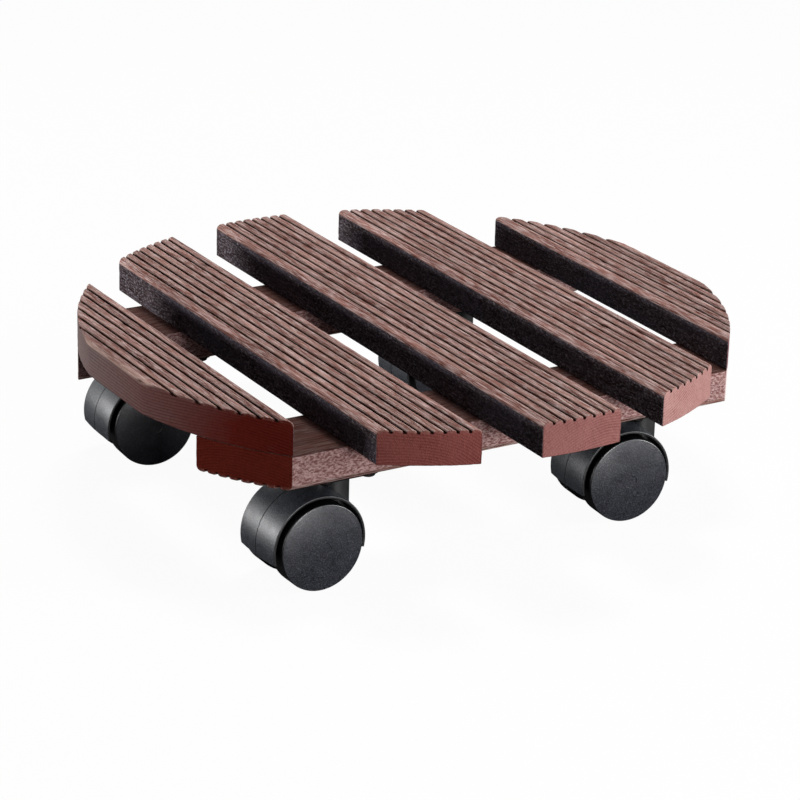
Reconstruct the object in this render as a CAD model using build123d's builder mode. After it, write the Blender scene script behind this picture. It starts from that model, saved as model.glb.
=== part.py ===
from build123d import *
import os
from math import cos, radians, sin

os.makedirs("parts", exist_ok=True)

# Plant caddy: five grooved boards on two battens, cut to one disc, on four swivel castors.
# Millimetres, Z up. The origin is on the floor under the middle of the disc.
# The boards run along Y and the battens along X.

# Deck
DECK_RADIUS = 150.0
FLAT_DEPTH = 2.4
BOARD_WIDTH = 40.0
BOARD_THICKNESS = 16.0
BOARD_COUNT = 5
OUTER_BOARD_TRIM = 4.8
BATTEN_INSET = 71.0
CUT_OVERSHOOT = 1.0
GROOVE_COUNT = 7
GROOVE_PITCH = 5.0
GROOVE_WIDTH = 0.9
GROOVE_DEPTH = 1.4
RIB_ROUNDING = 1.1
RIBBED_EDGE_ROUNDING = 2.4
PLAIN_EDGE_ROUNDING = 0.5

# Screws from the battens up into the boards
WOOD_SCREW_LENGTH = 28.0
WOOD_SCREW_RADIUS = 1.75
WOOD_SCREW_HEAD_RADIUS = 3.5
WOOD_SCREW_HEAD_HEIGHT = 2.2
WOOD_SCREW_POINT = 3.5
OUTER_SCREW_OFFSET = 14.4
SECOND_SCREW_OFFSET = 11.2
SECOND_SCREW_SPREAD = 3.0
MIDDLE_SCREW_SPREAD = 9.0
SCREW_STAGGER = 7.5

# Castor: places
CASTOR_HEIGHT = 50.5
CASTOR_INSET = 69.2
CASTOR_TRAIL = 15.5
CASTOR_ANGLES = {
    "front_left": 1.0,
    "front_right": -4.0,
    "rear_left": -3.0,
    "rear_right": -1.0,
}

# Castor: plate and its screws
PLATE_SIZE = 30.0
PLATE_THICKNESS = 2.0
PLATE_CORNER = 4.0
PLATE_HOLE_SPACING = 21.0
PLATE_HOLE_RADIUS = 2.1
PLATE_SCREW_LENGTH = 14.0
PLATE_SCREW_RADIUS = 1.75
PLATE_SCREW_HEAD_RADIUS = 3.4
PLATE_SCREW_HEAD_HEIGHT = 1.9
PLATE_SCREW_HEAD_ROUNDING = 0.9
PLATE_SCREW_POINT = 3.0

# Cross recess of both kinds of screw
RECESS_LENGTH = 3.4
RECESS_WIDTH = 0.9
RECESS_DEPTH = 1.1
SCREW_CLEARANCE = 0.05

# Castor: swivel
PIN_RADIUS = 3.0
PIN_LENGTH = 24.5
PIN_COLLAR_RADIUS = 5.0
PIN_COLLAR_HEIGHT = 1.0
PIN_FLARE_RADIUS = 3.9
PIN_FLARE_HEIGHT = 1.0
PIN_CHAMFER = 0.5
WASHER_RADIUS = 6.4
WASHER_THICKNESS = 0.8
RING_THICKNESS = 0.8
RING_RADIUS = 4.3
RING_GROOVE_DEPTH = 0.5
RING_MOUTH = 3.6
RING_END_DISTANCE = 1.0
SWIVEL_CLEARANCE = 0.05
THRUST_CLEARANCE = 0.1

# Castor: housing
BOSS_RADIUS = 6.5
BOSS_SKIRT = 1.6
BOSS_WALL = 1.5
HOOD_RADIUS = 22.8
HOOD_CROWN = 0.7
HOOD_WALL = 1.2
HOOD_WIDTH = 29.8
HOOD_DROP_ANGLE = 12.5
HOOD_RIM_ROUNDING = 0.4
SEAM_WIDTH = 0.5
SEAM_DEPTH = 0.2
WEB_THICKNESS = 4.0
HUB_RADIUS = 5.0

# Castor: wheels and axle
WHEEL_RADIUS = 20.0
WHEEL_GAP = 14.4
WHEEL_RIM_WIDTH = 10.2
WHEEL_DOME = 2.0
WHEEL_DOME_MIDWAY = 1.4
WHEEL_DIMPLE_RADIUS = 3.0
WHEEL_DIMPLE_DEPTH = 0.15
WHEEL_SHOULDER = 0.7
WHEEL_RIM_WALL = 3.0
WHEEL_FACE_WALL = 2.2
WHEEL_INNER_CHAMFER = 0.5
WHEEL_HUB_RADIUS = 4.6
SPOKE_COUNT = 6
SPOKE_THICKNESS = 1.2
SPOKE_RECESS = 1.0
AXLE_RADIUS = 2.5
AXLE_REACH = 8.4
AXLE_BEAD = 0.3
AXLE_BEAD_WIDTH = 1.0
AXLE_BEAD_DISTANCE = 1.6
AXLE_CHAMFER = 0.5
AXLE_CLEARANCE = 0.05
WHEEL_END_CLEARANCE = 0.2

# Places that follow from the deck's edge
FLAT_DISTANCE = DECK_RADIUS - FLAT_DEPTH
OUTER_BOARD_DISTANCE = FLAT_DISTANCE + OUTER_BOARD_TRIM - BOARD_WIDTH / 2
BOARD_PITCH = 2 * OUTER_BOARD_DISTANCE / (BOARD_COUNT - 1)
BATTEN_DISTANCE = DECK_RADIUS - BATTEN_INSET
CASTOR_DISTANCE = DECK_RADIUS - CASTOR_INSET
OUTER_SCREW_DISTANCE = OUTER_BOARD_DISTANCE - OUTER_SCREW_OFFSET
SECOND_SCREW_DISTANCE = BOARD_PITCH - SECOND_SCREW_OFFSET

# Heights that follow
BATTEN_BOTTOM = CASTOR_HEIGHT
BOARD_BOTTOM = BATTEN_BOTTOM + BOARD_THICKNESS
PLATE_BOTTOM = CASTOR_HEIGHT - PLATE_THICKNESS
COLLAR_BOTTOM = PLATE_BOTTOM - PIN_COLLAR_HEIGHT
WASHER_BOTTOM = COLLAR_BOTTOM - WASHER_THICKNESS
BOSS_TOP = WASHER_BOTTOM - THRUST_CLEARANCE
PIN_BOTTOM = PLATE_BOTTOM - PIN_LENGTH
RING_BOTTOM = PIN_BOTTOM + RING_END_DISTANCE
RING_TOP = RING_BOTTOM + RING_THICKNESS
BOSS_SHOULDER = RING_TOP + THRUST_CLEARANCE
BOSS_BOTTOM = BOSS_SHOULDER - BOSS_SKIRT
WHEEL_INNER = WHEEL_GAP / 2
WHEEL_OUTER = WHEEL_INNER + WHEEL_RIM_WIDTH
AXLE_END = WHEEL_INNER + AXLE_REACH
HUB_HALF = WHEEL_INNER - WHEEL_END_CLEARANCE


def turned(points, plane, axis):
    """Solid of revolution of a closed outline about an axis in its plane."""
    with BuildPart() as body:
        with BuildSketch(plane):
            with BuildLine():
                Polyline(*points, close=True)
            make_face()
        revolve(axis=axis)
    return body.part


def slat(plane):
    """Grooved slat through the whole disc, its plain side on the plane, before the disc is cut."""
    with BuildPart() as body:
        with BuildSketch(plane) as profile:
            Rectangle(BOARD_WIDTH, BOARD_THICKNESS, align=(Align.CENTER, Align.MIN))
            plain = profile.vertices().group_by(Axis.Y)[0]
            ribbed = profile.vertices().group_by(Axis.Y)[-1]
            fillet(plain, PLAIN_EDGE_ROUNDING)
            fillet(ribbed, RIBBED_EDGE_ROUNDING)
            with Locations((0, BOARD_THICKNESS)):
                with GridLocations(GROOVE_PITCH, 0, GROOVE_COUNT, 1):
                    Rectangle(GROOVE_WIDTH, 2 * GROOVE_DEPTH, mode=Mode.SUBTRACT)
            fillet(profile.vertices().group_by(Axis.Y)[-1].sort_by(Axis.X)[1:-1], RIB_ROUNDING)
        extrude(amount=DECK_RADIUS + CUT_OVERSHOOT, both=True)
    return body.part


def disc(bottom):
    """Thick disc with a short flat on each outer board, as the boards and battens are cut."""
    with BuildPart() as body:
        with BuildSketch(Plane.XY.offset(bottom)):
            Circle(DECK_RADIUS)
            Rectangle(2 * FLAT_DISTANCE, 2 * DECK_RADIUS, mode=Mode.INTERSECT)
        extrude(amount=BOARD_THICKNESS)
    return body.part


def wood_screw_points(side):
    """Places of the screws through one batten, in pairs staggered across it."""
    z = BATTEN_BOTTOM
    near = side * (BATTEN_DISTANCE - SCREW_STAGGER)
    far = side * (BATTEN_DISTANCE + SCREW_STAGGER)
    points = [(-MIDDLE_SCREW_SPREAD, near, z), (MIDDLE_SCREW_SPREAD, far, z)]
    for hand in (-1, 1):
        points.append((hand * OUTER_SCREW_DISTANCE, near, z))
        points.append((hand * (SECOND_SCREW_DISTANCE + SECOND_SCREW_SPREAD), far, z))
        points.append((hand * (SECOND_SCREW_DISTANCE - SECOND_SCREW_SPREAD), near, z))
    return points


def wood_screw_shape(margin):
    """Countersunk screw grown by a margin, head down, with the flat of its head at height 0."""
    outline = [
        (0, 0),
        (WOOD_SCREW_HEAD_RADIUS + margin, 0),
        (WOOD_SCREW_RADIUS + margin, WOOD_SCREW_HEAD_HEIGHT),
        (WOOD_SCREW_RADIUS + margin, WOOD_SCREW_LENGTH - WOOD_SCREW_POINT),
        (0, WOOD_SCREW_LENGTH + margin),
    ]
    return turned(outline, Plane.XZ, Axis.Z)


def plate_screw_shank(margin):
    """Shank of a plate screw grown by a margin, from under its head at height 0 upwards."""
    outline = [
        (0, 0),
        (PLATE_SCREW_RADIUS + margin, 0),
        (PLATE_SCREW_RADIUS + margin, PLATE_SCREW_LENGTH - PLATE_SCREW_POINT),
        (0, PLATE_SCREW_LENGTH + margin),
    ]
    return turned(outline, Plane.XZ, Axis.Z)


def plate_screw_blank():
    """Pan-head screw, head down, with the seat of its head at height 0."""
    with BuildPart() as body:
        Cylinder(
            PLATE_SCREW_HEAD_RADIUS,
            PLATE_SCREW_HEAD_HEIGHT,
            align=(Align.CENTER, Align.CENTER, Align.MAX),
        )
        fillet(body.edges().group_by(Axis.Z)[0], PLATE_SCREW_HEAD_ROUNDING)
        add(plate_screw_shank(0))
    return body.part


def recessed(blank, bottom):
    """Screw with a cross recess cut up into the lowest face of its head."""
    with BuildPart() as body:
        add(blank)
        with BuildSketch(Plane.XY.offset(bottom)):
            Rectangle(RECESS_LENGTH, RECESS_WIDTH)
            Rectangle(RECESS_WIDTH, RECESS_LENGTH)
        extrude(amount=RECESS_DEPTH, mode=Mode.SUBTRACT)
    return body.part


def spread(piece, places):
    """Group of separate copies of one piece."""
    return Compound(children=[Location(place) * piece for place in places])


def castor_point(name):
    """Point on the floor under a castor's swivel axis."""
    x = CASTOR_DISTANCE if name.endswith("right") else -CASTOR_DISTANCE
    y = BATTEN_DISTANCE if name.startswith("rear") else -BATTEN_DISTANCE
    return x, y


def plate_hole_points(name):
    """Places of the four screws of a castor's plate, which lies square to the batten."""
    x, y = castor_point(name)
    half = PLATE_HOLE_SPACING / 2
    return [(x + i * half, y + j * half, PLATE_BOTTOM) for i in (-1, 1) for j in (-1, 1)]


# Castor pieces, in a frame with the swivel axis on Z, the floor at 0 and the wheels towards -X
AXLE_LINE = Axis((-CASTOR_TRAIL, 0, WHEEL_RADIUS), (0, 1, 0))
AXLE_PLANE = Plane(origin=AXLE_LINE.position, x_dir=(0, 1, 0), z_dir=(1, 0, 0))
SIDE_PLANE = Plane(origin=AXLE_LINE.position, x_dir=(1, 0, 0), z_dir=(0, -1, 0))


def castor_plate():
    """Square steel plate with screw holes and a flared hole for the pin."""
    with BuildPart() as body:
        with BuildSketch(Plane.XY.offset(PLATE_BOTTOM)):
            RectangleRounded(PLATE_SIZE, PLATE_SIZE, PLATE_CORNER)
            with GridLocations(PLATE_HOLE_SPACING, PLATE_HOLE_SPACING, 2, 2):
                Circle(PLATE_HOLE_RADIUS, mode=Mode.SUBTRACT)
        extrude(amount=PLATE_THICKNESS)
        add(pin_shape(SWIVEL_CLEARANCE), mode=Mode.SUBTRACT)
    return body.part


def pin_shape(margin):
    """Pin grown by a margin above its collar, where the plate's hole follows it."""
    top = CASTOR_HEIGHT
    outline = [
        (0, COLLAR_BOTTOM),
        (PIN_COLLAR_RADIUS, COLLAR_BOTTOM),
        (PIN_COLLAR_RADIUS, PLATE_BOTTOM),
        (PIN_RADIUS + margin, PLATE_BOTTOM),
        (PIN_RADIUS + margin, top - PIN_FLARE_HEIGHT),
        (PIN_FLARE_RADIUS + margin, top),
        (0, top),
    ]
    return turned(outline, Plane.XZ, Axis.Z)


def castor_pin():
    """Swivel pin with a collar under the plate, a groove for the ring and a flared top."""
    groove_radius = PIN_RADIUS - RING_GROOVE_DEPTH
    shank = [
        (0, PIN_BOTTOM),
        (PIN_RADIUS - PIN_CHAMFER, PIN_BOTTOM),
        (PIN_RADIUS, PIN_BOTTOM + PIN_CHAMFER),
        (PIN_RADIUS, RING_BOTTOM),
        (groove_radius, RING_BOTTOM),
        (groove_radius, RING_TOP),
        (PIN_RADIUS, RING_TOP),
        (PIN_RADIUS, COLLAR_BOTTOM),
        (0, COLLAR_BOTTOM),
    ]
    with BuildPart() as body:
        add(pin_shape(0))
        add(turned(shank, Plane.XZ, Axis.Z))
    return body.part


def castor_washer():
    """Thrust washer between the pin's collar and the boss."""
    with BuildPart() as body:
        with BuildSketch(Plane.XY.offset(WASHER_BOTTOM)):
            Circle(WASHER_RADIUS)
            Circle(PIN_RADIUS + SWIVEL_CLEARANCE, mode=Mode.SUBTRACT)
        extrude(amount=WASHER_THICKNESS)
    return body.part


def castor_ring():
    """Open retaining ring that snaps into the groove of the pin."""
    with BuildPart() as body:
        with BuildSketch(Plane.XY.offset(RING_BOTTOM)):
            Circle(RING_RADIUS)
            Circle(PIN_RADIUS - RING_GROOVE_DEPTH + SWIVEL_CLEARANCE, mode=Mode.SUBTRACT)
            Rectangle(RING_RADIUS, RING_MOUTH, align=(Align.MIN, Align.CENTER), mode=Mode.SUBTRACT)
        extrude(amount=RING_THICKNESS)
    return body.part


def castor_housing():
    """Hood over both wheels, with a web, a boss for the pin and a hub for the axle."""
    start = radians(-HOOD_DROP_ANGLE)
    rim_plane = Plane(
        origin=AXLE_LINE.position,
        x_dir=(0, 1, 0),
        z_dir=(sin(start), 0, -cos(start)),
    )
    half = HOOD_WIDTH / 2
    inside = HOOD_RADIUS - HOOD_WALL
    crown = HOOD_RADIUS + HOOD_CROWN
    drop = HOOD_RADIUS * sin(radians(HOOD_DROP_ANGLE))
    with BuildPart() as body:
        with BuildSketch(rim_plane) as profile:
            with BuildLine():
                ThreePointArc((-half, HOOD_RADIUS), (0, crown), (half, HOOD_RADIUS))
                Polyline((half, HOOD_RADIUS), (half, inside), (-half, inside), (-half, HOOD_RADIUS))
            make_face()
            fillet(profile.vertices(), HOOD_RIM_ROUNDING)
            with Locations((0, crown)):
                Rectangle(SEAM_WIDTH, 2 * SEAM_DEPTH, mode=Mode.SUBTRACT)
        revolve(
            axis=Axis(AXLE_LINE.position, (0, -1, 0)),
            revolution_arc=180 + 2 * HOOD_DROP_ANGLE,
        )
        with BuildSketch(SIDE_PLANE):
            Circle(inside + HOOD_WALL / 2)
            with Locations((0, -drop)):
                Rectangle(
                    2 * HOOD_RADIUS,
                    2 * HOOD_RADIUS,
                    align=(Align.CENTER, Align.MIN),
                    mode=Mode.INTERSECT,
                )
        extrude(amount=WEB_THICKNESS / 2, both=True)
        with BuildSketch(SIDE_PLANE):
            Circle(HUB_RADIUS)
        extrude(amount=HUB_HALF, both=True)
        with BuildSketch(Plane.XY.offset(BOSS_BOTTOM)):
            Circle(BOSS_RADIUS)
        extrude(amount=BOSS_TOP - BOSS_BOTTOM)
        with BuildSketch(Plane.XY.offset(BOSS_BOTTOM)):
            Circle(PIN_RADIUS + SWIVEL_CLEARANCE)
        extrude(amount=BOSS_TOP - BOSS_BOTTOM, mode=Mode.SUBTRACT)
        with BuildSketch(Plane.XY.offset(BOSS_SHOULDER)):
            Circle(BOSS_RADIUS - BOSS_WALL)
        extrude(amount=-HOOD_RADIUS, mode=Mode.SUBTRACT)
        with BuildSketch(SIDE_PLANE):
            Circle(AXLE_RADIUS + AXLE_CLEARANCE)
        extrude(amount=HUB_HALF, both=True, mode=Mode.SUBTRACT)
    return body.part


def axle_outline(radius, bead, end):
    """Half outline of the axle's round shape up to one end, with its snap bead."""
    bead_outer = AXLE_END - AXLE_BEAD_DISTANCE + bead
    bead_inner = bead_outer - AXLE_BEAD_WIDTH - 2 * bead
    raised = radius + AXLE_BEAD
    return [
        (bead_inner, radius),
        (bead_inner, raised),
        (bead_outer, raised),
        (bead_outer, radius),
        (end, radius),
    ]


def castor_axle():
    """Steel axle with a snap bead near each end."""
    right = axle_outline(AXLE_RADIUS, 0, AXLE_END - AXLE_CHAMFER)
    right.append((AXLE_END, AXLE_RADIUS - AXLE_CHAMFER))
    right.append((AXLE_END, 0))
    left = [(-y, r) for y, r in reversed(right)]
    return turned(left + right, AXLE_PLANE, AXLE_LINE)


def castor_wheel():
    """Cup-shaped wheel on the +Y side: closed domed face outside, hub and spokes inside."""
    face = WHEEL_OUTER
    inner_face = face - WHEEL_FACE_WALL
    shoulder = WHEEL_RADIUS - WHEEL_SHOULDER
    peak = face + WHEEL_DOME
    bend = (shoulder + WHEEL_DIMPLE_RADIUS) / 2
    rim_inside = WHEEL_RADIUS - WHEEL_RIM_WALL
    corner = WHEEL_SHOULDER * (1 - cos(radians(45)))
    with BuildPart() as body:
        with BuildSketch(AXLE_PLANE):
            with BuildLine():
                ThreePointArc(
                    (face - WHEEL_SHOULDER, WHEEL_RADIUS),
                    (face - corner, WHEEL_RADIUS - corner),
                    (face, shoulder),
                )
                ThreePointArc(
                    (face, shoulder),
                    (face + WHEEL_DOME_MIDWAY, bend),
                    (peak, WHEEL_DIMPLE_RADIUS),
                )
                Polyline(
                    (peak, WHEEL_DIMPLE_RADIUS),
                    (peak - WHEEL_DIMPLE_DEPTH, WHEEL_DIMPLE_RADIUS - WHEEL_DIMPLE_DEPTH),
                    (peak - WHEEL_DIMPLE_DEPTH, 0),
                    (inner_face, 0),
                    (inner_face, rim_inside),
                    (WHEEL_INNER, rim_inside),
                    (WHEEL_INNER, WHEEL_RADIUS - WHEEL_INNER_CHAMFER),
                    (WHEEL_INNER + WHEEL_INNER_CHAMFER, WHEEL_RADIUS),
                    (face - WHEEL_SHOULDER, WHEEL_RADIUS),
                )
            make_face()
        revolve(axis=AXLE_LINE)
        with BuildSketch(SIDE_PLANE.offset(-WHEEL_INNER)):
            Circle(WHEEL_HUB_RADIUS)
        extrude(amount=-(inner_face - WHEEL_INNER))
        with BuildSketch(SIDE_PLANE.offset(-WHEEL_INNER - SPOKE_RECESS)):
            with PolarLocations(0, SPOKE_COUNT):
                Rectangle(
                    (rim_inside + WHEEL_RADIUS) / 2,
                    SPOKE_THICKNESS,
                    align=(Align.MIN, Align.CENTER),
                )
        extrude(amount=-(inner_face - WHEEL_INNER - SPOKE_RECESS))
        bore = axle_outline(
            AXLE_RADIUS + AXLE_CLEARANCE,
            AXLE_CLEARANCE,
            AXLE_END + WHEEL_END_CLEARANCE,
        )
        bore = [(0, 0), (0, bore[0][1])] + bore + [(AXLE_END + WHEEL_END_CLEARANCE, 0)]
        add(turned(bore, AXLE_PLANE, AXLE_LINE), mode=Mode.SUBTRACT)
    return body.part


def write(piece, name):
    """Label a finished piece and save it under its own name."""
    piece.label = name
    export_step(piece, f"parts/{name}.step")


# Wood
castor_names = list(CASTOR_ANGLES)
screw_points = wood_screw_points(-1) + wood_screw_points(1)
plate_points = [point for name in castor_names for point in plate_hole_points(name)]
wood_hole = wood_screw_shape(SCREW_CLEARANCE)
plate_hole = plate_screw_shank(SCREW_CLEARANCE)

for number in range(1, BOARD_COUNT + 1):
    x = (number - (BOARD_COUNT + 1) / 2) * BOARD_PITCH
    board_plane = Plane(origin=(x, 0, BOARD_BOTTOM), x_dir=(1, 0, 0), z_dir=(0, -1, 0))
    own_points = [point for point in screw_points if abs(point[0] - x) < BOARD_WIDTH / 2]
    with BuildPart() as board:
        add(slat(board_plane))
        add(disc(BOARD_BOTTOM), mode=Mode.INTERSECT)
        with Locations(*own_points):
            add(wood_hole, mode=Mode.SUBTRACT)
    write(board.part, f"board_{number}")

for side, end in ((-1, "front"), (1, "rear")):
    y = side * BATTEN_DISTANCE
    batten_plane = Plane(origin=(0, y, BOARD_BOTTOM), x_dir=(0, -1, 0), z_dir=(1, 0, 0))
    with BuildPart() as batten:
        add(slat(batten_plane))
        add(disc(BATTEN_BOTTOM), mode=Mode.INTERSECT)
        with Locations(*wood_screw_points(side)):
            add(wood_hole, mode=Mode.SUBTRACT)
        with Locations(*[point for point in plate_points if point[1] * side > 0]):
            add(plate_hole, mode=Mode.SUBTRACT)
    write(batten.part, f"batten_{end}")

# Screws
write(spread(recessed(wood_screw_shape(0), 0), screw_points), "board_screws")
plate_screw = recessed(plate_screw_blank(), -PLATE_SCREW_HEAD_HEIGHT)
write(spread(plate_screw, plate_points), "plate_screws")

# Castors
fixed_pieces = {
    "plate": castor_plate(),
    "pin": castor_pin(),
    "washer": castor_washer(),
    "ring": castor_ring(),
}
wheel = castor_wheel()
other_side = Location((-2 * CASTOR_TRAIL, 0, 0), (0, 0, 180))
swivelling_pieces = {
    "housing": castor_housing(),
    "axle": castor_axle(),
    "wheel_1": other_side * wheel,
    "wheel_2": wheel,
}
for name in castor_names:
    x, y = castor_point(name)
    for suffix, piece in fixed_pieces.items():
        write(Location((x, y, 0)) * piece, f"{name}_{suffix}")
    for suffix, piece in swivelling_pieces.items():
        write(Location((x, y, 0), (0, 0, CASTOR_ANGLES[name])) * piece, f"{name}_{suffix}")
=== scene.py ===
import math

import bpy
import numpy as np
from mathutils import Matrix, Vector


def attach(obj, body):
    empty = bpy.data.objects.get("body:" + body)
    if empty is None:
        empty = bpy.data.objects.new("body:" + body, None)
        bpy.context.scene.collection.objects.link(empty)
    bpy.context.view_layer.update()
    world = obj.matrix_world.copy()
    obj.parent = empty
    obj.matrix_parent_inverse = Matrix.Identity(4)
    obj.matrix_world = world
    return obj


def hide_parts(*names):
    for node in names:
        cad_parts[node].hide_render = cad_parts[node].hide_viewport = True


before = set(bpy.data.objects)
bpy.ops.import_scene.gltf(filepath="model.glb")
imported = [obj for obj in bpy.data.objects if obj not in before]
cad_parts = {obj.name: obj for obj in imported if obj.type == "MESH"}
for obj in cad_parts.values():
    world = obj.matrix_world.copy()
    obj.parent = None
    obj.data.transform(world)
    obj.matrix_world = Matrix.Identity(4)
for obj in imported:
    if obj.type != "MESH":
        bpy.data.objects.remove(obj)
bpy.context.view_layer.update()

# Sizes of the wooden pieces, in millimetres, as the solids have them
DECK_RADIUS = 150.0
FLAT_DISTANCE = 147.6
SLAT_WIDTH = 40.0
SLAT_HALF = SLAT_WIDTH / 2
SLAT_THICKNESS = 16.0
GROOVE_PITCH = 5.0
GROOVES_EACH_SIDE = 3
GROOVE_HALF_WIDTH = 0.45
GROOVE_DEPTH = 1.4
RIB_ROUNDING = 1.1
RIBBED_EDGE_ROUNDING = 2.4
PLAIN_EDGE_ROUNDING = 0.5
END_ROUNDING = 0.4
# A flat's end corner is drawn in straight, so no column may stand closer to it than this
FLAT_MARGIN = END_ROUNDING + 0.1
EDGE_MARGIN = 0.02
LEDGE_WIDTH = 1.6
SEAT_RADIUS = 4.4
SEAT_SLOPE = 0.7
SEAT_DEPTH = 0.3
SLAT_ROWS = 12
SLAT_STATIONS = 160
# Depth of each layer of relief, and its scale per millimetre across, along and up the slat
WAVES = (0.05, (0.9, 0.05, 0.9))
BEND = (0.07, (0.12, 0.02, 0.12))
TORN_FIBRES = (0.05, (0.8, 0.5, 0.8))
CHIPS = (0.45, (0.35, 0.16, 0.35))
CHIP_START, CHIP_RANGE = 0.42, 0.4
KNOT_DEPTH = 0.3
BOARD_BOTTOM = 66.5
BATTEN_TOP = 66.5
BOARD_MIDDLES = (-132.4, -66.2, 0.0, 66.2, 132.4)
BATTEN_MIDDLES = {"batten_front": -79.0, "batten_rear": 79.0}
METRE = 0.001
PER_METRE = 1000.0

# Camera


def place_camera():
    """Camera at the photograph's view: turned about Z, tipped down, then rolled."""
    yaw, pitch, roll = (math.radians(a) for a in (31.1705, 21.3736, 1.5062))
    distance = 1.440079
    lens = 140.412
    sideways, upwards, height = -0.00184, -0.041939, 0.0825
    ahead = Vector(
        (math.sin(yaw) * math.cos(pitch), math.cos(yaw) * math.cos(pitch), -math.sin(pitch))
    )
    level = Vector((math.cos(yaw), -math.sin(yaw), 0))
    upright = level.cross(ahead)
    right = level * math.cos(roll) + upright * math.sin(roll)
    up = upright * math.cos(roll) - level * math.sin(roll)
    target = Vector((0, 0, height)) + right * sideways + up * upwards
    data = bpy.data.cameras.new("camera")
    data.lens = lens
    data.sensor_width = 36.0
    data.clip_start = 0.05
    data.clip_end = 50.0
    camera = bpy.data.objects.new("camera", data)
    bpy.context.scene.collection.objects.link(camera)
    turn = Matrix((right, up, -ahead)).transposed()
    camera.matrix_world = Matrix.Translation(target - ahead * distance) @ turn.to_4x4()
    bpy.context.scene.camera = camera


place_camera()

# Node tools


def linear(hex_colour):
    """Linear colour of an sRGB hex value, by the sRGB curve."""
    parts = [int(hex_colour[i : i + 2], 16) / 255 for i in (1, 3, 5)]
    return [p / 12.92 if p <= 0.04045 else ((p + 0.055) / 1.055) ** 2.4 for p in parts] + [1.0]


def add(tree, kind, settings, inputs, output=0):
    """Adds one node with its settings, fills or links its inputs, gives one output."""
    made = tree.nodes.new(kind)
    for key, value in settings.items():
        if key == "stops":
            first, *middle, last = value
            elements = made.color_ramp.elements
            elements[0].position, elements[0].color = first
            elements[1].position, elements[1].color = last
            for position, colour in middle:
                elements.new(position).color = colour
        else:
            setattr(made, key, value)
    for key, value in inputs.items():
        if isinstance(value, bpy.types.NodeSocket):
            tree.links.new(value, made.inputs[key])
        else:
            made.inputs[key].default_value = value
    return made.outputs[output]


def new_material(name):
    """Empty node material, its tree and its surface socket."""
    material = bpy.data.materials.new(name)
    material.use_nodes = True
    tree = material.node_tree
    tree.nodes.clear()
    end = tree.nodes.new("ShaderNodeOutputMaterial")
    return material, tree, end.inputs["Surface"]


def grey(level):
    """Colour of a bare mask level."""
    return (level, level, level, 1.0)


NOISE = "ShaderNodeTexNoise"
RANGE = "ShaderNodeMapRange"
MIX = "ShaderNodeMix"
MATH = "ShaderNodeMath"
VECTOR = "ShaderNodeVectorMath"
COLOURS = {"data_type": "RGBA"}
STAINED = {"data_type": "RGBA", "blend_type": "MULTIPLY"}
TIMES = {"operation": "MULTIPLY"}
PLUS = {"operation": "ADD"}


# Wood finish

# Millimetres between growth rings
RING_SPACING = 1.3
# Scale per millimetre across, along and up the slat, and detail, of each pattern in the wood:
# bundles of fibres 0.4 mm across and 9 mm long, streaks of stain 1.8 by 70 mm, clouds of
# stain 14 by 50 mm, torn fibres of a sawn face, 0.5 mm across but drawn at 0.8 mm so that
# they show, and upright saw marks 0.6 mm apart and 5 mm long
WOOD_PATTERNS = {
    "fibre": ((2.6, 0.11, 2.6), 3.0),
    "streak": ((0.55, 0.014, 0.55), 3.0),
    "mottle": ((0.07, 0.02, 0.07), 3.0),
    "speckle": ((1.25, 0.6, 1.25), 2.0),
    "saw": ((1.7, 1.7, 0.2), 3.0),
}
WOOD_MASKS = ("side", "cut", "groove", "wear", "knot", "plain")


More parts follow.
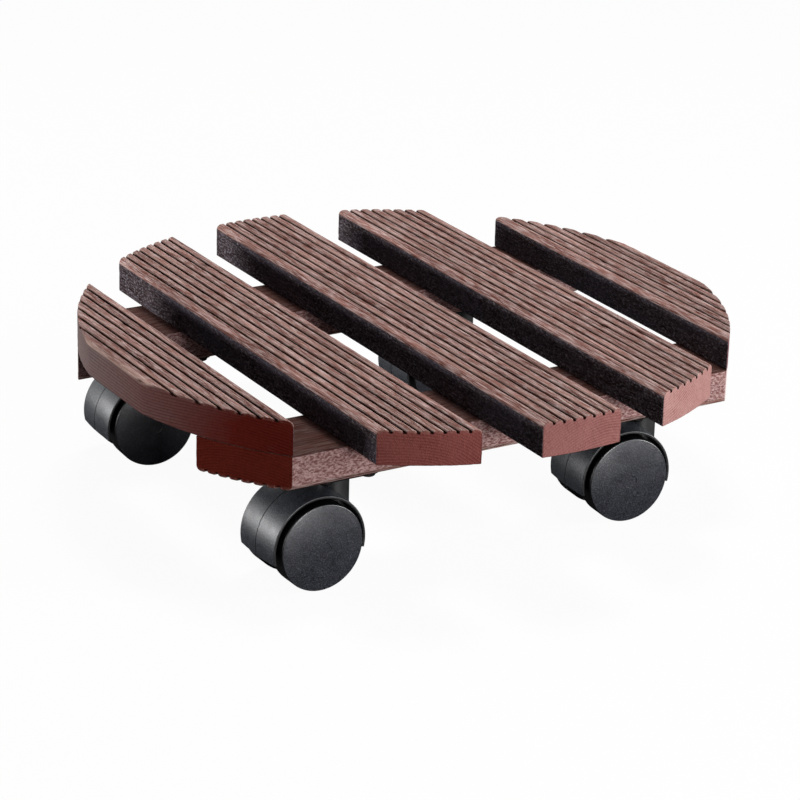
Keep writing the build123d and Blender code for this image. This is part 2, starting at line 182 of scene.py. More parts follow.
def stained_pine(name, middle, turn, pith, seed, rough_sawn, cut_stain_and_light):
    """Planed softwood under thin red-brown stain, grooved and cut with a saw.

    The eye sees greyish-pink rib tops with fine lengthwise grain whose pale fibre streaks are
    partly painted highlights, grooves near black from stain and painted shade, greyer sawn
    sides whose blue-grey on the boards is partly a painted reflection, redder cut ends with
    curved growth rings and saw marks, painted lighter towards one end of a slat, a plain
    face darkened by painted shade, and pale worn edges with a painted highlight on the
    ledge by a flat.
    The pattern's own axes are across, along and up the slat, in millimetres.
    """
    material, tree, surface = new_material(name)
    place = add(tree, "ShaderNodeTexCoord", {}, {}, "Object")
    local = add(
        tree,
        "ShaderNodeMapping",
        {"vector_type": "POINT"},
        {
            "Vector": place,
            "Location": (-middle[0], -middle[1], -middle[2]),
            "Rotation": (0, 0, turn),
            "Scale": (PER_METRE,) * 3,
        },
    )
    # Turned about the slat's length, so that the noise's own lattice stays hidden on the ends
    shifted = add(
        tree,
        "ShaderNodeMapping",
        {"vector_type": "POINT"},
        {
            "Vector": local,
            "Location": (seed * 37.0, seed * 411.0, seed * 53.0),
            "Rotation": (0, 0.55, 0),
        },
    )
    grain = {}
    for key, (scale, detail) in WOOD_PATTERNS.items():
        stretched = add(tree, VECTOR, TIMES, {0: shifted, 1: scale})
        grain[key] = add(
            tree,
            NOISE,
            {},
            {"Vector": stretched, "Scale": 1.0, "Detail": detail, "Roughness": 0.6},
            "Fac",
        )
    masks = {
        key: add(tree, "ShaderNodeAttribute", {"attribute_name": key}, {}, "Fac")
        for key in WOOD_MASKS
    }

    # Growth rings about the pith, which waver by 2 mm along the slat
    stretched = add(tree, VECTOR, TIMES, {0: shifted, 1: (0.035, 0.008, 0.035)})
    waver = add(tree, NOISE, {}, {"Vector": stretched, "Scale": 1.0, "Detail": 2.0}, "Color")
    bent = add(
        tree, VECTOR, {"operation": "MULTIPLY_ADD"}, {0: waver, 1: (5.0, 0.0, 5.0), 2: local}
    )
    from_pith = add(
        tree, VECTOR, {"operation": "SUBTRACT"}, {0: bent, 1: (pith[0], 0, pith[1])}
    )
    flattened = add(tree, VECTOR, TIMES, {0: from_pith, 1: (1, 0, 1)})
    radius = add(tree, VECTOR, {"operation": "LENGTH"}, {0: flattened}, "Value")
    turns = add(tree, MATH, TIMES, {0: radius, 1: 1 / RING_SPACING})
    phase = add(tree, MATH, {"operation": "FRACT"}, {0: turns})
    stops = [(0.0, grey(0.1)), (0.45, grey(0.25)), (0.86, grey(1.0)), (0.95, grey(0.15))]
    rings = add(tree, "ShaderNodeValToRGB", {"stops": stops}, {"Fac": phase})

    # Planed and ribbed faces
    part = add(tree, RANGE, {}, {0: grain["streak"], 1: 0.36, 2: 0.66})
    tone = add(tree, MIX, COLOURS, {0: part, 6: linear("#5c2a1f"), 7: linear("#b7857a")}, 2)
    # Painted highlight: the pale fibre streaks are partly the grain's own and partly stand in for
    # glints of light along the rib tops
    part = add(tree, RANGE, {}, {0: grain["fibre"], 1: 0.45, 2: 0.66, 4: 0.85})
    tone = add(tree, MIX, COLOURS, {0: part, 6: tone, 7: linear("#f0d8d3")}, 2)
    part = add(tree, MATH, TIMES, {0: rings, 1: 0.3})
    tone = add(tree, MIX, COLOURS, {0: part, 6: tone, 7: linear("#3c1c15")}, 2)
    part = add(tree, RANGE, {}, {0: grain["mottle"], 1: 0.45, 2: 0.7, 4: 0.35})
    tone = add(tree, MIX, COLOURS, {0: part, 6: tone, 7: linear("#5a342b")}, 2)
    # Painted shade: the plain face, the underside of a board and the top of a batten under the
    # boards, is painted near black brown
    part = add(tree, MATH, TIMES, {0: masks["plain"], 1: 0.8})
    top_tone = add(tree, MIX, COLOURS, {0: part, 6: tone, 7: linear("#36150d")}, 2)

    # Long narrow sides
    if rough_sawn:
        part = add(tree, RANGE, {}, {0: grain["speckle"], 1: 0.4, 2: 0.62})
        tone = add(tree, MIX, COLOURS, {0: part, 6: linear("#835956"), 7: linear("#cba9a6")}, 2)
        part = add(tree, RANGE, {}, {0: grain["mottle"], 1: 0.3, 2: 0.75, 4: 0.25})
        side_tone = add(tree, MIX, COLOURS, {0: part, 6: tone, 7: linear("#5d3a36")}, 2)
    else:
        # Planed sides: partly a greyer stain and partly a painted reflection, whose blue-grey
        # stands in for the white surroundings seen at a grazing angle
        part = add(tree, RANGE, {}, {0: grain["fibre"], 1: 0.36, 2: 0.66})
        tone = add(tree, MIX, COLOURS, {0: part, 6: linear("#1e100e"), 7: linear("#66595c")}, 2)
        part = add(tree, RANGE, {}, {0: grain["speckle"], 1: 0.5, 2: 0.72, 4: 0.75})
        tone = add(tree, MIX, COLOURS, {0: part, 6: tone, 7: linear("#aaa4ae")}, 2)
        part = add(tree, RANGE, {}, {0: grain["mottle"], 1: 0.4, 2: 0.7, 4: 0.5})
        side_tone = add(tree, MIX, COLOURS, {0: part, 6: tone, 7: linear("#64626f")}, 2)

    # Cut ends: painted light makes the cut faces darker at one end of a slat and lighter at the
    # other, where the light falls on them; the tones are partly the slat's own stain
    along = add(tree, "ShaderNodeSeparateXYZ", {}, {"Vector": local}, "Y")
    shift = add(tree, MATH, TIMES, {0: grain["mottle"], 1: 60.0})
    reach = add(tree, MATH, PLUS, {0: along, 1: shift})
    part = add(tree, RANGE, {}, {0: reach, 1: -50.0, 2: 90.0})
    first, last = (linear(tone) for tone in cut_stain_and_light)
    cut_tone = add(tree, MIX, COLOURS, {0: part, 6: first, 7: last}, 2)
    uneven = add(tree, RANGE, {}, {0: grain["mottle"], 1: 0.35, 2: 0.65, 3: 0.3, 4: 0.85})
    part = add(tree, MATH, TIMES, {0: rings, 1: uneven})
    cut_tone = add(tree, MIX, STAINED, {0: part, 6: cut_tone, 7: linear("#b59190")}, 2)
    part = add(tree, RANGE, {}, {0: grain["saw"], 1: 0.5, 2: 0.7, 4: 0.25})
    cut_tone = add(tree, MIX, STAINED, {0: part, 6: cut_tone, 7: linear("#b59190")}, 2)
    part = add(tree, RANGE, {}, {0: grain["speckle"], 1: 0.5, 2: 0.7, 4: 0.35})
    cut_tone = add(tree, MIX, STAINED, {0: part, 6: cut_tone, 7: linear("#c4a6a4")}, 2)

    # One skin from the faces, with stain and painted shade in the grooves, edges rubbed pale and a
    # painted highlight on the ledge by a flat
    colour = add(tree, MIX, COLOURS, {0: masks["side"], 6: top_tone, 7: side_tone}, 2)
    # Painted shade: the grooves are painted near black, partly stain gathered there and partly the
    # shade in their depth
    part = add(tree, RANGE, {}, {0: masks["groove"], 1: 0.1, 2: 0.75, 4: 0.97})
    colour = add(tree, MIX, COLOURS, {0: part, 6: colour, 7: linear("#1c0703")}, 2)
    colour = add(tree, MIX, COLOURS, {0: masks["cut"], 6: colour, 7: cut_tone}, 2)
    # Pale edges: wear at the ends and on the rib shoulders, and a painted highlight on the ledge
    # beside a flat
    pale_patches = add(tree, RANGE, {}, {0: grain["streak"], 1: 0.4, 2: 0.62, 3: 0.1, 4: 0.75})
    part = add(tree, MATH, TIMES, {0: masks["wear"], 1: pale_patches})
    colour = add(tree, MIX, COLOURS, {0: part, 6: colour, 7: linear("#c4a89c")}, 2)
    part = add(tree, MATH, TIMES, {0: masks["knot"], 1: 0.85})
    colour = add(tree, MIX, COLOURS, {0: part, 6: colour, 7: linear("#33190f")}, 2)

    roughness = add(tree, RANGE, {}, {0: grain["fibre"], 1: 0.3, 2: 0.7, 3: 0.75, 4: 0.62})
    fibres = add(tree, MATH, TIMES, {0: grain["fibre"], 1: 0.28})
    ridges = add(tree, MATH, TIMES, {0: rings, 1: 0.05})
    height = add(tree, MATH, PLUS, {0: fibres, 1: ridges})
    sawn = add(tree, MATH, {"operation": "MAXIMUM"}, {0: masks["side"], 1: masks["cut"]})
    torn = add(tree, MATH, TIMES, {0: grain["speckle"], 1: 0.55 if rough_sawn else 0.3})
    torn = add(tree, MATH, TIMES, {0: torn, 1: sawn})
    # Rubbed rib tops keep a trace of sheen, sawn faces and grooves are dead matt
    matt_part = add(tree, MATH, {"operation": "MAXIMUM"}, {0: sawn, 1: masks["groove"]})
    sheen = add(tree, RANGE, {}, {0: matt_part, 1: 0.0, 2: 0.6, 3: 0.05, 4: 0.0})
    height = add(tree, MATH, PLUS, {0: height, 1: torn})
    normal = add(
        tree,
        "ShaderNodeBump",
        {},
        {"Strength": 1.0, "Distance": METRE, "Height": height},
        "Normal",
    )
    shader = add(
        tree,
        "ShaderNodeBsdfPrincipled",
        {},
        {
            "Base Color": colour,
            "Roughness": roughness,
            "IOR": 1.5,
            "Specular IOR Level": sheen,
            "Normal": normal,
        },
        "BSDF",
    )
    tree.links.new(shader, surface)
    return material


# Plastic finish


def moulded_nylon(name, tone, shine, side_tone, side_shine, roughness):
    """Injection-moulded nylon with a fine spark-eroded grain.

    The eye sees a satin skin with tiny pale specks and broad soft highlights. The surfaces
    square to the axle, told by their normal in the piece's own space, have tones and a
    gloss of their own; their tones and those of the round surfaces are painted light and
    shade, where the near black ones stand in for the shade in and under the hood.
    """
    material, tree, surface = new_material(name)
    place = add(tree, "ShaderNodeTexCoord", {}, {}, "Object")
    facing = add(tree, "ShaderNodeTexCoord", {}, {}, "Normal")
    across = add(tree, "ShaderNodeSeparateXYZ", {}, {"Vector": facing}, "Y")
    square = add(tree, MATH, {"operation": "ABSOLUTE"}, {0: across})
    square = add(tree, RANGE, {}, {0: square, 1: 0.6, 2: 0.85})
    # Mould grain of 0.2 mm, drawn at 0.5 mm so that it shows, and clouds of gloss of 11 mm
    grain = add(
        tree, NOISE, {}, {"Vector": place, "Scale": 2000.0, "Detail": 2.0, "Roughness": 0.6}, "Fac"
    )
    cloud = add(
        tree, NOISE, {}, {"Vector": place, "Scale": 90.0, "Detail": 4.0, "Roughness": 0.6}, "Fac"
    )
    # Painted highlight: the pale specks stand in for glints of the mould grain
    specks = add(tree, RANGE, {}, {0: grain, 1: 0.45, 2: 0.75})
    outside = add(tree, MIX, COLOURS, {0: specks, 6: linear(tone), 7: linear(shine)}, 2)
    side = add(tree, MIX, COLOURS, {0: specks, 6: linear(side_tone), 7: linear(side_shine)}, 2)
    colour = add(tree, MIX, COLOURS, {0: square, 6: outside, 7: side}, 2)
    gloss = add(
        tree, RANGE, {}, {0: cloud, 1: 0.3, 2: 0.7, 3: roughness + 0.07, 4: roughness - 0.05}
    )
    sheen = add(tree, RANGE, {}, {0: square, 1: 0.0, 2: 1.0, 3: 0.4, 4: 0.8})
    normal = add(
        tree,
        "ShaderNodeBump",
        {},
        {"Strength": 1.0, "Distance": 0.06 * METRE, "Height": grain},
        "Normal",
    )
    shader = add(
        tree,
        "ShaderNodeBsdfPrincipled",
        {},
        {
            "Base Color": colour,
            "Roughness": gloss,
            "IOR": 1.53,
            "Specular IOR Level": sheen,
            "Normal": normal,
        },
        "BSDF",
    )
    tree.links.new(shader, surface)
    return material


# Metal finish


def scratched_steel(name, tone, dull, roughness):
    """Steel part, clouded and lightly scratched: bright, grey or blackened by its two tones."""
    material, tree, surface = new_material(name)
    place = add(tree, "ShaderNodeTexCoord", {}, {}, "Object")
    # Clouds in the finish of 4.5 mm, and scratches 3.3 mm long and 0.17 mm wide
    cloud = add(
        tree, NOISE, {}, {"Vector": place, "Scale": 220.0, "Detail": 5.0, "Roughness": 0.65}, "Fac"
    )
    stretched = add(tree, VECTOR, TIMES, {0: place, 1: (300, 6000, 6000)})
    scratch = add(tree, NOISE, {}, {"Vector": stretched, "Scale": 1.0, "Detail": 2.0}, "Fac")
    colour = add(tree, MIX, COLOURS, {0: cloud, 6: linear(tone), 7: linear(dull)}, 2)
    gloss = add(
        tree, RANGE, {}, {0: cloud, 1: 0.3, 2: 0.7, 3: roughness - 0.08, 4: roughness + 0.12}
    )
    normal = add(
        tree,
        "ShaderNodeBump",
        {},
        {"Strength": 0.6, "Distance": 0.03 * METRE, "Height": scratch},
        "Normal",
    )
    shader = add(
        tree,
        "ShaderNodeBsdfPrincipled",
        {},
        {"Base Color": colour, "Metallic": 1.0, "Roughness": gloss, "Normal": normal},
        "BSDF",
    )
    tree.links.new(shader, surface)
    return material


# Surfaces


def lattice_noise(points, scale, seed):
    """Smooth noise from -1 to 1.

    Seeded random numbers sit at whole coordinates of the scaled points and are blended
    along each axis by three t squared less two t cubed.
    """
    size = 32
    numbers = np.random.default_rng(seed).uniform(-1, 1, (size, size, size))
    scaled = points * np.array(scale)
    cell = np.floor(scaled).astype(int)
    t = scaled - cell
    t = t * t * (3 - 2 * t)
    total = np.zeros(len(points))
    for corner in np.ndindex(2, 2, 2):
        weight = np.prod(np.where(corner, t, 1 - t), axis=1)
        index = (cell + corner) % size
        total += weight * numbers[index[:, 0], index[:, 1], index[:, 2]]
    return total


def point_normals(points, quads):
    """Normal at each point: the sum of its quads' diagonals' cross products, made one long."""
    corners = points[quads]
    faces = np.cross(corners[:, 2] - corners[:, 0], corners[:, 3] - corners[:, 1])
    normals = np.zeros_like(points)
    for k in range(4):
        np.add.at(normals, quads[:, k], faces)
    return normals / np.maximum(np.linalg.norm(normals, axis=1, keepdims=True), 1e-12)


def outward(points, quads):
    """Quads turned so that the volume they close, the sum of signed pyramids, is positive."""
    corners = points[quads]
    faces = np.cross(corners[:, 2] - corners[:, 0], corners[:, 3] - corners[:, 1])
    volume = np.einsum("ij,ij->", faces, corners.mean(axis=1))
    return quads if volume > 0 else quads[:, ::-1]


def make_piece(name, points, quads, masks, material, body, nodes):
    """Smooth piece from points in millimetres, with its masks, finish and place in the frame."""
    mesh = bpy.data.meshes.new(name)
    mesh.from_pydata((points * METRE).tolist(), [], quads.tolist())
    mesh.polygons.foreach_set("use_smooth", np.ones(len(mesh.polygons), bool))
    for key, values in masks.items():
        layer = mesh.attributes.new(key, "FLOAT", "POINT")
        layer.data.foreach_set("value", values.astype(np.float32))
    mesh.materials.append(material)
    mesh.update()
    piece = bpy.data.objects.new(name, mesh)
    bpy.context.scene.collection.objects.link(piece)
    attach(piece, body)
    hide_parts(*nodes)


def slat_profile(low, high):
    """Places across a slat from low to high, with the height of its ribbed and plain sides.

    A rib is flat with quarter-round shoulders, a groove has steep walls and a flat floor,
    the outer edges of the ribbed side are larger quarter rounds, those of the plain side
    are small ones.
    """
    turn = np.linspace(0, math.pi / 2, 7)
    floor = SLAT_THICKNESS - GROOVE_DEPTH
    away = np.concatenate(
        (
            [0.0, 0.2, 0.34, 0.41, 0.44],
            GROOVE_HALF_WIDTH + RIB_ROUNDING * (1 - np.cos(turn)),
        )
    )
    up = np.concatenate(
        (
            [floor, floor, floor + 0.01, floor + 0.08, floor + 0.25],
            SLAT_THICKNESS - RIB_ROUNDING * (1 - np.sin(turn)),
        )
    )
    across = [
        np.concatenate((-away[:0:-1], away)) + i * GROOVE_PITCH
        for i in range(-GROOVES_EACH_SIDE, GROOVES_EACH_SIDE + 1)
    ]
    heights = [np.concatenate((up[:0:-1], up))] * len(across)
    rib_start = away[-1]
    rib = np.linspace(rib_start, GROOVE_PITCH - rib_start, 7)[1:-1]
    for i in range(-GROOVES_EACH_SIDE, GROOVES_EACH_SIDE):
        across.append(rib + i * GROOVE_PITCH)
        heights.append(np.full(len(rib), SLAT_THICKNESS))
    outer = SLAT_HALF - RIBBED_EDGE_ROUNDING
    edge_turn = np.linspace(0, math.pi / 2, 10)
    edge = outer + RIBBED_EDGE_ROUNDING * np.sin(edge_turn)
    drop = SLAT_THICKNESS - RIBBED_EDGE_ROUNDING * (1 - np.cos(edge_turn))
    for hand in (-1, 1):
        across.append(hand * edge)
        heights.append(drop)
    plain = SLAT_HALF - PLAIN_EDGE_ROUNDING * (1 - np.cos(turn[1:-1]))
    for hand in (-1, 1):
        across.append(hand * plain)
        heights.append(np.interp(plain, edge, drop))
    across, heights = np.concatenate(across), np.concatenate(heights)
    order = np.argsort(across, kind="stable")
    across, heights = across[order], heights[order]
    low_margin = EDGE_MARGIN if low == -SLAT_HALF else FLAT_MARGIN
    high_margin = EDGE_MARGIN if high == SLAT_HALF else FLAT_MARGIN
    inside = (across > low + low_margin) & (across < high - high_margin)
    ends = np.interp([low, high], across, heights)
    across = np.concatenate(([low], across[inside], [high]))
    heights = np.concatenate((ends[:1], heights[inside], ends[1:]))
    edge_start = SLAT_HALF - PLAIN_EDGE_ROUNDING
    past = np.clip(np.abs(across) - edge_start, 0, PLAIN_EDGE_ROUNDING)
    base = PLAIN_EDGE_ROUNDING - np.sqrt(PLAIN_EDGE_ROUNDING**2 - past**2)
    return across, heights, base


def slat_surface(middle, low, high, seed, knots, seats):
    """Grooved slat cut by the disc, as a profile carried along the slat.

    The profile is a closed loop of (across, height). Its stations run from end to end,
    where the length at each place across is that of the disc's chord there, so both ends
    follow the circle. The last fractions of a millimetre draw the loop in by a quarter
    round, and a grid of straight columns between the plain and the ribbed side closes
    each end. Every point then moves along its normal by layers of noise that run with
    the grain. Gives points as (across, along, height), quads and masks.
    """
    rows = SLAT_ROWS
    across, top, base = slat_profile(low, high)
    columns = len(across)
    share = np.linspace(0, 1, rows + 1)[:, None]
    grid_height = base + (top - base) * share
    grid_across = np.broadcast_to(across, grid_height.shape)
    loop_rows = np.concatenate(
        (
            np.zeros(columns, int),
            np.arange(1, rows),
            np.full(columns, rows),
            np.arange(rows - 1, 0, -1),
        )
    )
    loop_columns = np.concatenate(
        (
            np.arange(columns),
            np.full(rows - 1, columns - 1),
            np.arange(columns - 1, -1, -1),
            np.zeros(rows - 1, int),
        )
    )
    loop = np.stack((grid_across[loop_rows, loop_columns], grid_height[loop_rows, loop_columns]), 1)
    along_loop = np.roll(loop, -1, 0) - np.roll(loop, 1, 0)
    inward = np.stack((-along_loop[:, 1], along_loop[:, 0]), 1)
    inward /= np.linalg.norm(inward, axis=1, keepdims=True)

    depth = END_ROUNDING * np.array([0.0, 0.08, 0.3, 0.62, 1.0])
    drawn_in = END_ROUNDING - np.sqrt(END_ROUNDING**2 - (END_ROUNDING - depth) ** 2)
    middle_share = np.linspace(0, 1, SLAT_STATIONS)[1:-1]
    inset = np.concatenate((drawn_in, np.zeros(len(middle_share)), drawn_in[::-1]))
    rings = loop[None] + inset[:, None, None] * inward[None]
    chord = np.sqrt(DECK_RADIUS**2 - (rings[:, :, 0] + middle) ** 2)
    slope = chord / DECK_RADIUS
    count = len(inset)
    along = np.empty(chord.shape)
    near = depth[:, None] / slope[: len(depth)]
    along[: len(depth)] = near - chord[: len(depth)]
    along[count - len(depth) :] = chord[: len(depth)][::-1] - near[::-1]
    start = along[len(depth) - 1]
    along[len(depth) : count - len(depth)] = start * (1 - 2 * middle_share[:, None])
    points = np.stack((rings[:, :, 0], along, rings[:, :, 1]), 2).reshape(-1, 3)

    size = len(loop)
    ids = np.arange(count * size).reshape(count, size)
    after = np.roll(ids, -1, 1)
    quads = [
        np.stack((ids[:-1], after[:-1], after[1:], ids[1:]), 2).reshape(-1, 4),
    ]
    on_wall = (loop_columns == 0) | (loop_columns == columns - 1)
    planed = on_wall & (np.abs(loop[:, 0]) > SLAT_HALF - 0.1)
    flat = on_wall & ~planed
    ledge = np.clip(LEDGE_WIDTH - (across - low), 0, 1) * (low > -SLAT_HALF)
    ledge += np.clip(LEDGE_WIDTH - (high - across), 0, 1) * (high < SLAT_HALF)
    depth_below = (SLAT_THICKNESS - top) / GROOVE_DEPTH
    in_groove = np.where(np.abs(across) < SLAT_HALF - RIBBED_EDGE_ROUNDING, depth_below, 0)
    in_groove = in_groove * (1 - ledge)
    groove = np.where(loop_rows == rows, in_groove[loop_columns], 0)
    ribbed = (loop_rows == rows) & (in_groove[loop_columns] < 0.3)
    shoulder = ribbed & (in_groove[loop_columns] > 0.02)
    at_end = inset > 0.1 * END_ROUNDING
    # Painted highlight: the ledge beside a flat is painted pale, standing in for the light caught
    # by the cut groove's slope there
    ledge_highlight = (loop_rows == rows) * ledge[loop_columns]
    wear = np.maximum(np.outer(at_end, 0.3 * ribbed), 0.6 * shoulder + ledge_highlight).ravel()
    cut = np.repeat(inset > 0.5 * END_ROUNDING, size).astype(float)
    masks = {
        "side": np.tile(planed.astype(float), count),
        "groove": np.tile(groove, count),
        "wear": np.clip(wear, 0, 1),
        "cut": np.maximum(cut, np.tile(flat.astype(float), count)),
        "plain": np.tile((loop_rows == 0).astype(float), count),
    }

    for station, hand in ((0, 1), (count - 1, -1)):
        drawn = rings[station]
        cap = np.full(grid_height.shape, -1)
        cap[loop_rows, loop_columns] = ids[station]
        bottom_x = drawn[:columns, 0]
        bottom_z = drawn[:columns, 1]
        top_x = drawn[columns + rows - 1 : 2 * columns + rows - 1, 0][::-1]
        top_z = drawn[columns + rows - 1 : 2 * columns + rows - 1, 1][::-1]
        grid_x = bottom_x + (top_x - bottom_x) * share
        grid_z = bottom_z + (top_z - bottom_z) * share
        fresh = np.full(grid_height.shape, True)
        fresh[loop_rows, loop_columns] = False
        cap[fresh] = len(points) + np.arange(fresh.sum())
        new_x, new_z = grid_x[fresh], grid_z[fresh]
        new_y = -hand * np.sqrt(DECK_RADIUS**2 - (new_x + middle) ** 2)
        points = np.concatenate((points, np.stack((new_x, new_y, new_z), 1)))
        faces = np.stack((cap[:-1, :-1], cap[1:, :-1], cap[1:, 1:], cap[:-1, 1:]), 2)
        faces = faces.reshape(-1, 4)
        quads.append(faces if hand == 1 else faces[:, ::-1])
        for key, values in masks.items():
            level = 1.0 if key == "cut" else 0.0
            masks[key] = np.concatenate((values, np.full(len(new_x), level)))
    quads = np.concatenate(quads)

    masks["knot"] = np.zeros(len(points))
    for knot_across, knot_along, width, length in knots:
        far = ((points[:, 0] - knot_across) / width) ** 2
        far += ((points[:, 1] - knot_along) / length) ** 2
        on_top = points[:, 2] > SLAT_THICKNESS / 2
        masks["knot"] = np.maximum(masks["knot"], np.exp(-far) * on_top)

    # Planed waves, a slow bend, torn sawn faces, chipped edges and sunk knots
    quads = outward(points, quads)
    normals = point_normals(points, quads)
    lift = WAVES[0] * lattice_noise(points, WAVES[1], seed)
    lift += BEND[0] * lattice_noise(points, BEND[1], seed + 1)
    rough = np.maximum(masks["side"], masks["cut"])
    lift += TORN_FIBRES[0] * rough * lattice_noise(points, TORN_FIBRES[1], seed + 2)
    chip = np.clip(lattice_noise(points, CHIPS[1], seed + 3) - CHIP_START, 0, CHIP_RANGE)
    lift -= CHIPS[0] * masks["wear"] * chip / CHIP_RANGE
    lift -= KNOT_DEPTH * masks["knot"]
    for seat_across, seat_along in seats:
        far = np.hypot(points[:, 0] - seat_across, points[:, 1] - seat_along)
        on_ribs = points[:, 2] > SLAT_THICKNESS - GROOVE_DEPTH - 0.2
        points[:, 2] -= SEAT_DEPTH * np.clip((SEAT_RADIUS - far) / SEAT_SLOPE, 0, 1) * on_ribs
    return points + normals * lift[:, None], quads, masks


# Place of the pith across and up from the middle of each slat's plain face, in millimetres
BOARD_PITHS = ((6.0, -38.0), (-9.0, -30.0), (14.0, -26.0), (-22.0, 46.0), (5.0, -44.0))
BATTEN_PITHS = ((4.0, -60.0), (-8.0, -52.0))
# Tones of each board's cut faces at its near and far end: partly the board's own stain, partly
# painted light, paler on the ends that the lamps fall on
BOARD_CUT_STAIN_AND_LIGHT = (
    ("#64231c", "#8d8280"),
    ("#8f534e", "#a5675c"),
    ("#9f6d69", "#c08f84"),
    ("#c0948f", "#d3a89e"),
    ("#94686d", "#b18680"),
)
# Painted light: the battens' cut faces run from dark red at one end to near white at the other,
# where the light falls
BATTEN_CUT_STAIN_AND_LIGHT = ("#68281f", "#fff0ee")
# Place across and along each board, and width and length, of its knots
BOARD_KNOTS = (
    ((9.0, 40.0, 1.6, 2.6),),
    ((13.4, 97.0, 1.8, 3.2), (-4.0, -20.0, 1.2, 2.0)),
    ((-6.0, 62.0, 1.2, 2.0),),
    ((4.5, -60.0, 1.4, 2.4),),
    ((-11.0, 15.0, 1.3, 2.2),),
)


def make_boards():
    """Five grooved boards, grooves up, side by side along Y."""
    for number, middle in enumerate(BOARD_MIDDLES, 1):
        low = max(-SLAT_HALF, -FLAT_DISTANCE - middle)
        high = min(SLAT_HALF, FLAT_DISTANCE - middle)
        points, quads, masks = slat_surface(
            middle, low, high, 100 * number, BOARD_KNOTS[number - 1], ()
        )
        points[:, 0] += middle
        points[:, 2] += BOARD_BOTTOM
        finish = stained_pine(
            f"stained_pine_board_{number}",
            (middle, 0.0, BOARD_BOTTOM),
            0.0,
            BOARD_PITHS[number - 1],
            number,
            False,
            BOARD_CUT_STAIN_AND_LIGHT[number - 1],
        )
        make_piece(
            f"grooved_board_{number}",
            points,
            quads,
            masks,
            finish,
            "deck",
            [f"board_{number}"],
        )


# Place of each wood screw along the batten, and the side of its middle where the screw stands
SCREW_PLACES = (
    (-9.0, -1),
    (9.0, 1),
    (-118.0, -1),
    (118.0, -1),
    (-58.0, 1),
    (58.0, 1),
    (-52.0, -1),
    (52.0, -1),
)
SCREW_STAGGER = 7.5


def make_battens():
    """Two battens across the boards, grooves down, with a shallow seat at each screw head."""
    for index, (node, middle) in enumerate(BATTEN_MIDDLES.items()):
        hand = 1 if middle > 0 else -1
        seats = [(hand * stagger * SCREW_STAGGER, x) for x, stagger in SCREW_PLACES]
        local, quads, masks = slat_surface(
            middle, -SLAT_HALF, SLAT_HALF, 700 + 10 * index, (), seats
        )
        points = np.stack((local[:, 1], local[:, 0] + middle, BATTEN_TOP - local[:, 2]), 1)
        quads = outward(points, quads)
        finish = stained_pine(
            f"stained_pine_{node}",
            (-middle, 0.0, BATTEN_TOP),
            math.pi / 2,
            BATTEN_PITHS[index],
            8 + index,
            True,
            BATTEN_CUT_STAIN_AND_LIGHT,
        )
        make_piece(f"grooved_{node}", points, quads, masks, finish, "deck", [node])


make_boards()
make_battens()

# Castors and fasteners

# Painted shade: the hood's faces square to the axle and the wheel's round tread are painted near
# black, standing in for the shade in and under the hood
NYLON = moulded_nylon("moulded_nylon_hood", "#191b20", "#565a62", "#020203", "#050506", 0.42)
WHEEL_NYLON = moulded_nylon(
    "moulded_nylon_wheel", "#020203", "#08090b", "#17181d", "#50515b", 0.33
)
PALE_NYLON = moulded_nylon(
    "moulded_nylon_washer", "#c9c8c0", "#d8d7d0", "#c9c8c0", "#d8d7d0", 0.45
)
PLATE_STEEL = scratched_steel("blackened_steel_plate", "#26282c", "#17181b", 0.42)
SCREW_STEEL = scratched_steel("blackened_steel_screws", "#4a4744", "#2c2a28", 0.36)
AXLE_STEEL = scratched_steel("zinc_steel_axle", "#a9abad", "#7e8184", 0.28)
SPRING_STEEL = scratched_steel("spring_steel_ring", "#55575a", "#37383b", 0.36)

for name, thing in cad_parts.items():
    if thing.hide_render:
        continue
    if name.endswith("housing"):
        finish = NYLON
    elif "wheel" in name:
        finish = WHEEL_NYLON
    elif name.endswith("washer"):
        finish = PALE_NYLON
    elif name.endswith("plate") or name.endswith("pin"):
        finish = PLATE_STEEL
    elif name.endswith("screws"):
        finish = SCREW_STEEL
    elif name.endswith("axle"):
        finish = AXLE_STEEL
    else:
        finish = SPRING_STEEL
    thing.data.materials.clear()
    thing.data.materials.append(finish)

# Studio


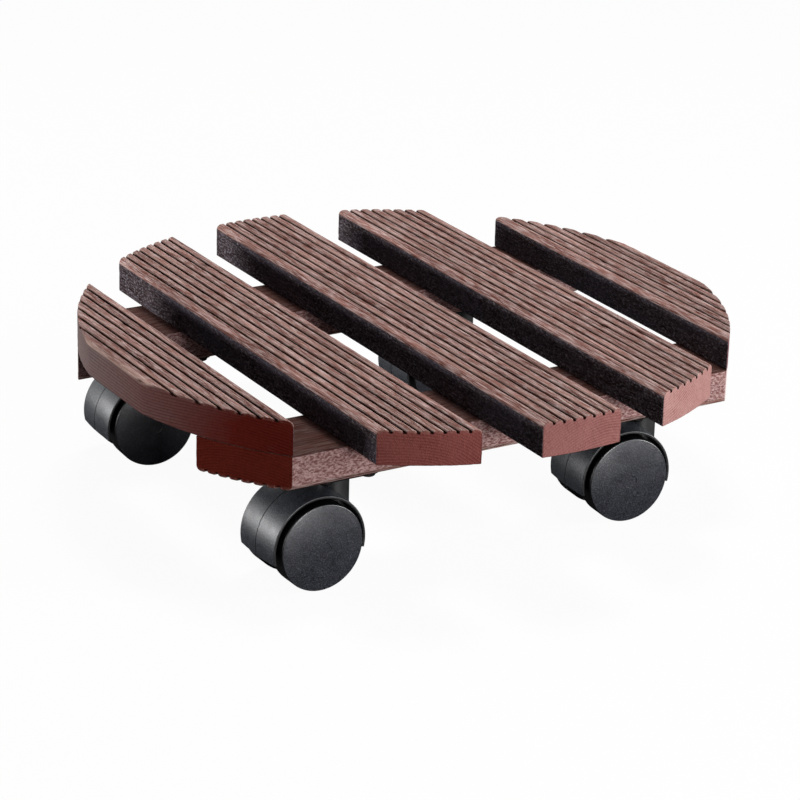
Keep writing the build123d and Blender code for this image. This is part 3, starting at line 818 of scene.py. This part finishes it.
def make_floor():
    """Plain pale floor that keeps the shadow, white where the camera looks at it."""
    size, steps = 6.0, 13
    x, y = np.meshgrid(np.linspace(-size, size, steps), np.linspace(-size, size, steps))
    points = np.stack((x, y, np.zeros_like(x)), 2).reshape(-1, 3)
    ids = np.arange(steps * steps).reshape(steps, steps)
    quads = np.stack((ids[:-1, :-1], ids[:-1, 1:], ids[1:, 1:], ids[1:, :-1]), 2).reshape(-1, 4)
    mesh = bpy.data.meshes.new("floor")
    mesh.from_pydata(points.tolist(), [], quads.tolist())
    floor = bpy.data.objects.new("floor", mesh)
    bpy.context.scene.collection.objects.link(floor)
    material, tree, surface = new_material("pale_floor")
    seen = add(tree, "ShaderNodeLightPath", {}, {}, "Is Camera Ray")
    matt = add(tree, "ShaderNodeBsdfDiffuse", {}, {"Color": linear("#585858")})
    shown = add(tree, "ShaderNodeBsdfDiffuse", {}, {"Color": linear("#f9f9f9")})
    white = add(tree, "ShaderNodeEmission", {}, {"Color": linear("#ffffff"), "Strength": 1.0})
    pale = add(tree, "ShaderNodeMixShader", {}, {0: 0.95, 1: shown, 2: white})
    both = add(tree, "ShaderNodeMixShader", {}, {0: seen, 1: matt, 2: pale})
    # Clear from below, so that the underside can be looked at
    below = add(tree, "ShaderNodeNewGeometry", {}, {}, "Backfacing")
    clear = add(tree, "ShaderNodeBsdfTransparent", {}, {})
    floor_skin = add(tree, "ShaderNodeMixShader", {}, {0: below, 1: both, 2: clear})
    tree.links.new(floor_skin, surface)
    mesh.materials.append(material)


def make_world():
    """White surroundings for the camera and for gloss, and a weak even fill for everything else."""
    world = bpy.data.worlds.new("studio")
    bpy.context.scene.world = world
    world.use_nodes = True
    tree = world.node_tree
    tree.nodes.clear()
    end = tree.nodes.new("ShaderNodeOutputWorld")
    camera_ray = add(tree, "ShaderNodeLightPath", {}, {}, "Is Camera Ray")
    glossy_ray = add(tree, "ShaderNodeLightPath", {}, {}, "Is Glossy Ray")
    through_ray = add(tree, "ShaderNodeLightPath", {}, {}, "Is Transmission Ray")
    seen = add(tree, MATH, PLUS, {0: camera_ray, 1: glossy_ray})
    seen = add(tree, MATH, {"operation": "ADD", "use_clamp": True}, {0: seen, 1: through_ray})
    strength = add(tree, RANGE, {}, {0: seen, 1: 0.0, 2: 1.0, 3: 0.01, 4: 1.0})
    sky = add(
        tree, "ShaderNodeBackground", {}, {"Color": linear("#ffffff"), "Strength": strength}
    )
    tree.links.new(sky, end.inputs["Surface"])


LAMP_TARGET = (0.0, 0.0, 0.05)


def make_lamp(name, place, size, level):
    """Rectangular soft lamp aimed at the object. Its level is the share of a colour it shows."""
    data = bpy.data.lights.new(name, "AREA")
    data.shape = "RECTANGLE"
    data.size, data.size_y = size
    away = Vector(place) - Vector(LAMP_TARGET)
    data.energy = level * math.pi**2 * away.length_squared
    lamp = bpy.data.objects.new(name, data)
    bpy.context.scene.collection.objects.link(lamp)
    lamp.location = place
    lamp.rotation_mode = "QUATERNION"
    lamp.rotation_quaternion = away.to_track_quat("Z", "Y")


make_floor()
make_world()
make_lamp("lamp_right", (1.15, -0.95, 0.45), (0.6, 0.6), 0.75)
make_lamp("lamp_left_back", (-1.15, 0.9, 0.19), (0.9, 0.2), 0.8)
make_lamp("lamp_front", (-0.05, -1.35, 0.24), (0.35, 0.25), 0.5)
make_lamp("lamp_top", (0.25, 0.35, 1.5), (0.4, 0.4), 0.56)
bpy.context.scene.view_settings.view_transform = "Standard"
